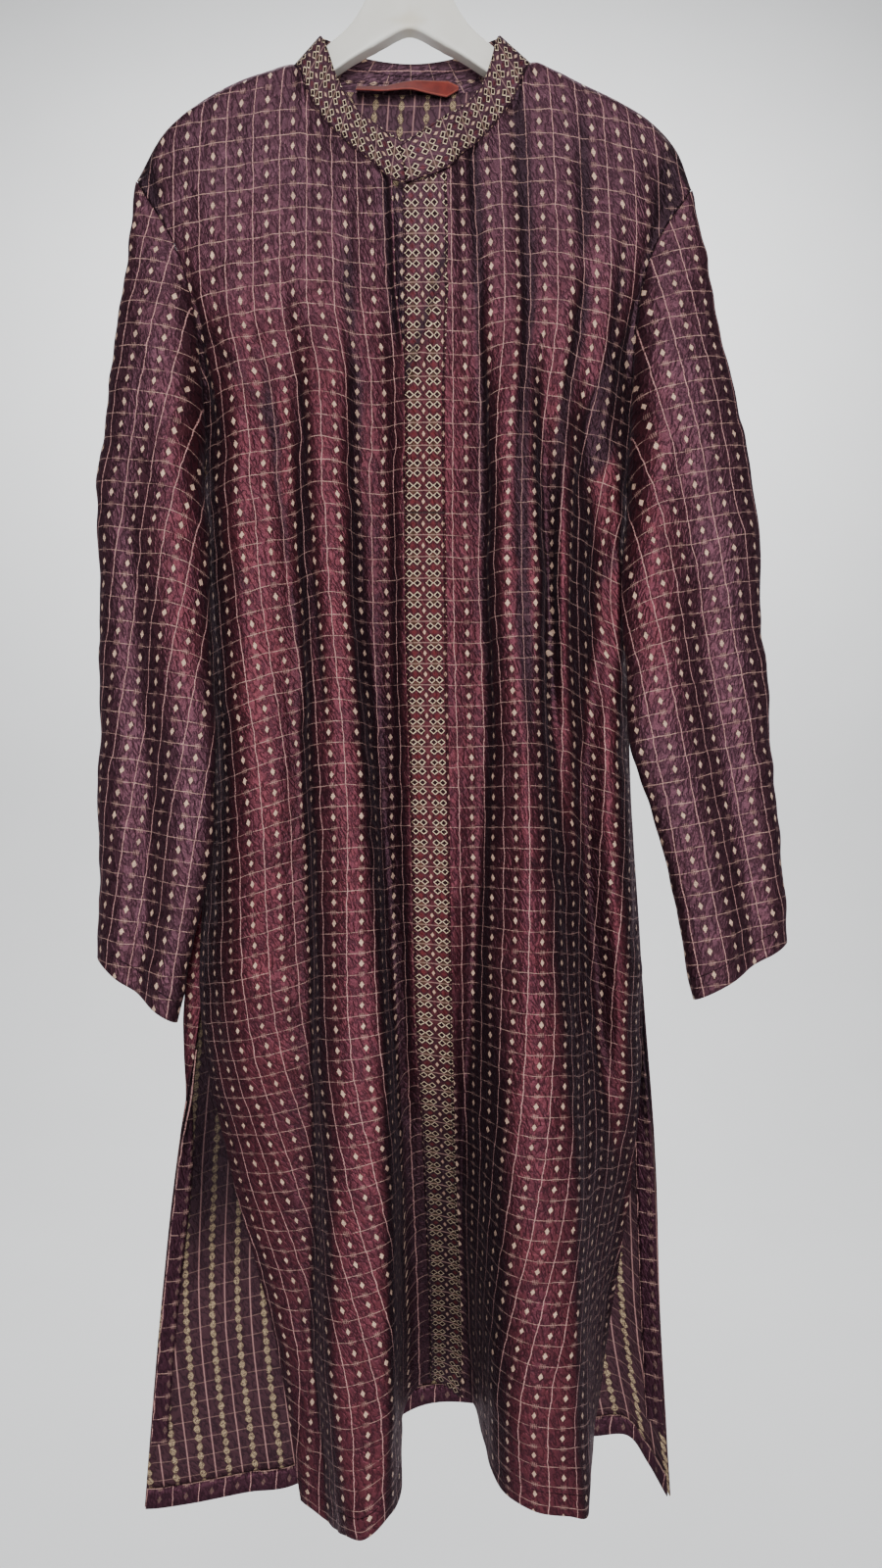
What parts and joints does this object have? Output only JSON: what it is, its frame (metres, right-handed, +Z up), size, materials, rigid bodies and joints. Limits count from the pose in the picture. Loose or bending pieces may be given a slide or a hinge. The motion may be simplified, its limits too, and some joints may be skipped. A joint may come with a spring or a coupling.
{
  "type": "long kurta on a wooden hanger",
  "caption": "Long stand-collar kurta in checked maroon silk with a brocade front border, long sleeves and side slits, hanging in soft folds on a white wooden hanger.",
  "frame": {"origin": "inside top of the hanger's hook, where a rod or wall hook carries it", "axes": "+Z up; the front of the garment faces -Y; +X to the viewer's right"},
  "size_m": [0.5332, 0.1358, 1.2694],
  "materials": {
    "silk": "crinkled shot silk, maroon, fine check and small cream lozenges",
    "silk_inside": "wrong side of the silk, with columns of cream floats",
    "brocade": "cream brocade of small open diamonds on maroon",
    "ribbon": "plain rust-red satin ribbon",
    "painted_wood": "white painted wood, softly worn",
    "wire": "polished steel wire"
  },
  "bodies": {
    "root": {"front_left": "silk", "front_right": "silk", "front_border": "brocade", "placket_underlap": "silk", "back": "silk_inside", "back_hem_turn": "silk", "back_slit_turn_left": "silk", "back_slit_turn_right": "silk", "sleeve_left": "silk", "sleeve_right": "silk", "collar": "brocade", "neck_label": "ribbon", "hanger_wood": "painted_wood", "hanger_hook": "wire"}
  },
  "joints": []
}
